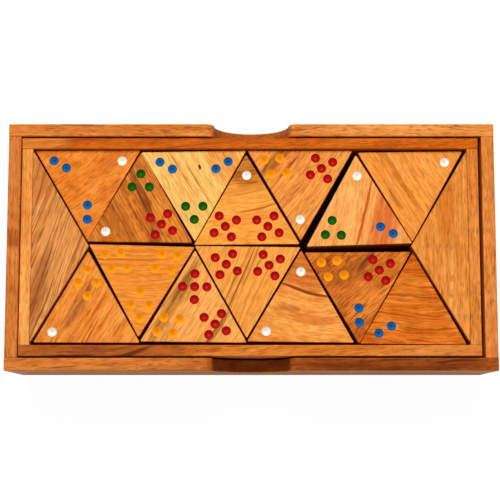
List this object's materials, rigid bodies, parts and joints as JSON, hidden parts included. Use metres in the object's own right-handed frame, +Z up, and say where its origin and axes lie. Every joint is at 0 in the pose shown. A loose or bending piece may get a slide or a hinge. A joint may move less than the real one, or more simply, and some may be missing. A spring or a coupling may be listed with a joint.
{
  "type": "triangular domino set",
  "caption": "Open wooden box of triangular domino tiles with coloured drilled pips, in a lift-out tray with wedge blocks, standing in a slide-over case with thumb notches.",
  "frame": {"origin": "middle of the case's underside, on the surface that it stands on", "axes": "+X along the case towards the right-hand end, +Y towards the back wall, +Z up through the open top"},
  "size_m": [0.2304, 0.1172, 0.0515],
  "materials": {
    "case_wood": "satin varnished orange-brown hardwood",
    "tray_wood": "satin varnished orange-brown hardwood",
    "floor_wood": "plain brown wood panel",
    "tile_amber": "satin varnished wood with drilled painted pips",
    "tile_honey": "satin varnished wood with drilled painted pips",
    "tile_straw": "satin varnished wood with drilled painted pips",
    "tile_russet": "satin varnished wood with drilled painted pips"
  },
  "bodies": {
    "case": {"case_back_wall": "case_wood", "case_front_wall": "case_wood", "case_left_wall": "case_wood", "case_panel": "floor_wood", "case_right_wall": "case_wood"},
    "tray": {"tray_back_wall": "tray_wood", "tray_floor": "floor_wood", "tray_front_wall": "tray_wood", "tray_left_wall": "tray_wood", "tray_right_wall": "tray_wood", "left_wedge": "tray_wood", "right_wedge": "tray_wood"},
    "tile_000": {"tile_000": "tile_amber"},
    "tile_003": {"tile_003": "tile_amber"},
    "tile_004": {"tile_004": "tile_amber"},
    "tile_122": {"tile_122": "tile_amber"},
    "tile_005": {"tile_005": "tile_russet"},
    "tile_012": {"tile_012": "tile_russet"},
    "tile_013": {"tile_013": "tile_russet"},
    "tile_135": {"tile_135": "tile_russet"},
    "tile_015": {"tile_015": "tile_straw"},
    "tile_022": {"tile_022": "tile_straw"},
    "tile_023": {"tile_023": "tile_straw"},
    "tile_223": {"tile_223": "tile_straw"},
    "tile_024": {"tile_024": "tile_honey"},
    "tile_025": {"tile_025": "tile_honey"},
    "tile_033": {"tile_033": "tile_honey"},
    "tile_155": {"tile_155": "tile_honey"},
    "tile_034": {"tile_034": "tile_amber"},
    "tile_035": {"tile_035": "tile_amber"},
    "tile_044": {"tile_044": "tile_amber"},
    "tile_145": {"tile_145": "tile_amber"},
    "tile_045": {"tile_045": "tile_straw"},
    "tile_111": {"tile_111": "tile_straw"},
    "tile_112": {"tile_112": "tile_straw"},
    "tile_123": {"tile_123": "tile_straw"},
    "tiles_113_114": {"tiles_113_114": "tile_honey"},
    "tile_115": {"tile_115": "tile_honey"},
    "tile_001": {"tile_001": "tile_honey"},
    "tiles_124_125": {"tiles_124_125": "tile_amber"},
    "tile_133": {"tile_133": "tile_amber"},
    "tile_014": {"tile_014": "tile_amber"},
    "tiles_134_144": {"tiles_134_144": "tile_amber"},
    "tile_222": {"tile_222": "tile_amber"},
    "tile_444": {"tile_444": "tile_amber"},
    "tiles_224_225": {"tiles_224_225": "tile_straw"},
    "tile_233": {"tile_233": "tile_straw"},
    "tile_455": {"tile_455": "tile_straw"},
    "tiles_234_235": {"tiles_234_235": "tile_honey"},
    "tile_244": {"tile_244": "tile_honey"},
    "tile_055": {"tile_055": "tile_honey"},
    "tiles_255_333": {"tiles_255_333": "tile_honey"},
    "tile_334": {"tile_334": "tile_honey"},
    "tile_011": {"tile_011": "tile_honey"},
    "tiles_335_344": {"tiles_335_344": "tile_russet"},
    "tile_345": {"tile_345": "tile_russet"},
    "tile_245": {"tile_245": "tile_russet"},
    "tiles_355_445": {"tiles_355_445": "tile_russet"},
    "tile_555": {"tile_555": "tile_russet"},
    "tile_002": {"tile_002": "tile_russet"}
  },
  "joints": [
    {"name": "tray_lift", "type": "slide", "parent": "case", "child": "tray", "axis": [0, 0, 1], "range_m": [0, 0.055]},
    {"name": "tile_000_lift", "type": "slide", "parent": "tray", "child": "tile_000", "axis": [0, 0, 1], "range_m": [0, 0.045]},
    {"name": "tile_003_lift", "type": "slide", "parent": "tile_000", "child": "tile_003", "axis": [0, 0, 1], "range_m": [0, 0.034]},
    {"name": "tile_004_lift", "type": "slide", "parent": "tile_003", "child": "tile_004", "axis": [0, 0, 1], "range_m": [0, 0.024]},
    {"name": "tile_122_lift", "type": "slide", "parent": "tile_004", "child": "tile_122", "axis": [0, 0, 1], "range_m": [0, 0.014]},
    {"name": "tile_005_lift", "type": "slide", "parent": "tray", "child": "tile_005", "axis": [0, 0, 1], "range_m": [0, 0.045]},
    {"name": "tile_012_lift", "type": "slide", "parent": "tile_005", "child": "tile_012", "axis": [0, 0, 1], "range_m": [0, 0.034]},
    {"name": "tile_013_lift", "type": "slide", "parent": "tile_012", "child": "tile_013", "axis": [0, 0, 1], "range_m": [0, 0.024]},
    {"name": "tile_135_lift", "type": "slide", "parent": "tile_013", "child": "tile_135", "axis": [0, 0, 1], "range_m": [0, 0.014]},
    {"name": "tile_015_lift", "type": "slide", "parent": "tray", "child": "tile_015", "axis": [0, 0, 1], "range_m": [0, 0.045]},
    {"name": "tile_022_lift", "type": "slide", "parent": "tile_015", "child": "tile_022", "axis": [0, 0, 1], "range_m": [0, 0.034]},
    {"name": "tile_023_lift", "type": "slide", "parent": "tile_022", "child": "tile_023", "axis": [0, 0, 1], "range_m": [0, 0.024]},
    {"name": "tile_223_lift", "type": "slide", "parent": "tile_023", "child": "tile_223", "axis": [0, 0, 1], "range_m": [0, 0.014]},
    {"name": "tile_024_lift", "type": "slide", "parent": "tray", "child": "tile_024", "axis": [0, 0, 1], "range_m": [0, 0.045]},
    {"name": "tile_025_lift", "type": "slide", "parent": "tile_024", "child": "tile_025", "axis": [0, 0, 1], "range_m": [0, 0.034]},
    {"name": "tile_033_lift", "type": "slide", "parent": "tile_025", "child": "tile_033", "axis": [0, 0, 1], "range_m": [0, 0.024]},
    {"name": "tile_155_lift", "type": "slide", "parent": "tile_033", "child": "tile_155", "axis": [0, 0, 1], "range_m": [0, 0.014]},
    {"name": "tile_034_lift", "type": "slide", "parent": "tray", "child": "tile_034", "axis": [0, 0, 1], "range_m": [0, 0.045]},
    {"name": "tile_035_lift", "type": "slide", "parent": "tile_034", "child": "tile_035", "axis": [0, 0, 1], "range_m": [0, 0.034]},
    {"name": "tile_044_lift", "type": "slide", "parent": "tile_035", "child": "tile_044", "axis": [0, 0, 1], "range_m": [0, 0.024]},
    {"name": "tile_145_lift", "type": "slide", "parent": "tile_044", "child": "tile_145", "axis": [0, 0, 1], "range_m": [0, 0.014]},
    {"name": "tile_045_lift", "type": "slide", "parent": "tray", "child": "tile_045", "axis": [0, 0, 1], "range_m": [0, 0.045]},
    {"name": "tile_111_lift", "type": "slide", "parent": "tile_045", "child": "tile_111", "axis": [0, 0, 1], "range_m": [0, 0.034]},
    {"name": "tile_112_lift", "type": "slide", "parent": "tile_111", "child": "tile_112", "axis": [0, 0, 1], "range_m": [0, 0.024]},
    {"name": "tile_123_lift", "type": "slide", "parent": "tile_112", "child": "tile_123", "axis": [0, 0, 1], "range_m": [0, 0.014]},
    {"name": "tiles_113_114_lift", "type": "slide", "parent": "tray", "child": "tiles_113_114", "axis": [0, 0, 1], "range_m": [0, 0.045]},
    {"name": "tile_115_lift", "type": "slide", "parent": "tiles_113_114", "child": "tile_115", "axis": [0, 0, 1], "range_m": [0, 0.024]},
    {"name": "tile_001_lift", "type": "slide", "parent": "tile_115", "child": "tile_001", "axis": [0, 0, 1], "range_m": [0, 0.014]},
    {"name": "tiles_124_125_lift", "type": "slide", "parent": "tray", "child": "tiles_124_125", "axis": [0, 0, 1], "range_m": [0, 0.045]},
    {"name": "tile_133_lift", "type": "slide", "parent": "tiles_124_125", "child": "tile_133", "axis": [0, 0, 1], "range_m": [0, 0.024]},
    {"name": "tile_014_lift", "type": "slide", "parent": "tile_133", "child": "tile_014", "axis": [0, 0, 1], "range_m": [0, 0.014]},
    {"name": "tiles_134_144_lift", "type": "slide", "parent": "tray", "child": "tiles_134_144", "axis": [0, 0, 1], "range_m": [0, 0.045]},
    {"name": "tile_222_lift", "type": "slide", "parent": "tiles_134_144", "child": "tile_222", "axis": [0, 0, 1], "range_m": [0, 0.024]},
    {"name": "tile_444_lift", "type": "slide", "parent": "tile_222", "child": "tile_444", "axis": [0, 0, 1], "range_m": [0, 0.014]},
    {"name": "tiles_224_225_lift", "type": "slide", "parent": "tray", "child": "tiles_224_225", "axis": [0, 0, 1], "range_m": [0, 0.045]},
    {"name": "tile_233_lift", "type": "slide", "parent": "tiles_224_225", "child": "tile_233", "axis": [0, 0, 1], "range_m": [0, 0.024]},
    {"name": "tile_455_lift", "type": "slide", "parent": "tile_233", "child": "tile_455", "axis": [0, 0, 1], "range_m": [0, 0.014]},
    {"name": "tiles_234_235_lift", "type": "slide", "parent": "tray", "child": "tiles_234_235", "axis": [0, 0, 1], "range_m": [0, 0.045]},
    {"name": "tile_244_lift", "type": "slide", "parent": "tiles_234_235", "child": "tile_244", "axis": [0, 0, 1], "range_m": [0, 0.024]},
    {"name": "tile_055_lift", "type": "slide", "parent": "tile_244", "child": "tile_055", "axis": [0, 0, 1], "range_m": [0, 0.014]},
    {"name": "tiles_255_333_lift", "type": "slide", "parent": "tray", "child": "tiles_255_333", "axis": [0, 0, 1], "range_m": [0, 0.045]},
    {"name": "tile_334_lift", "type": "slide", "parent": "tiles_255_333", "child": "tile_334", "axis": [0, 0, 1], "range_m": [0, 0.024]},
    {"name": "tile_011_lift", "type": "slide", "parent": "tile_334", "child": "tile_011", "axis": [0, 0, 1], "range_m": [0, 0.014]},
    {"name": "tiles_335_344_lift", "type": "slide", "parent": "tray", "child": "tiles_335_344", "axis": [0, 0, 1], "range_m": [0, 0.045]},
    {"name": "tile_345_lift", "type": "slide", "parent": "tiles_335_344", "child": "tile_345", "axis": [0, 0, 1], "range_m": [0, 0.024]},
    {"name": "tile_245_lift", "type": "slide", "parent": "tile_345", "child": "tile_245", "axis": [0, 0, 1], "range_m": [0, 0.014]},
    {"name": "tiles_355_445_lift", "type": "slide", "parent": "tray", "child": "tiles_355_445", "axis": [0, 0, 1], "range_m": [0, 0.045]},
    {"name": "tile_555_lift", "type": "slide", "parent": "tiles_355_445", "child": "tile_555", "axis": [0, 0, 1], "range_m": [0, 0.024]},
    {"name": "tile_002_lift", "type": "slide", "parent": "tile_555", "child": "tile_002", "axis": [0, 0, 1], "range_m": [0, 0.014]}
  ]
}
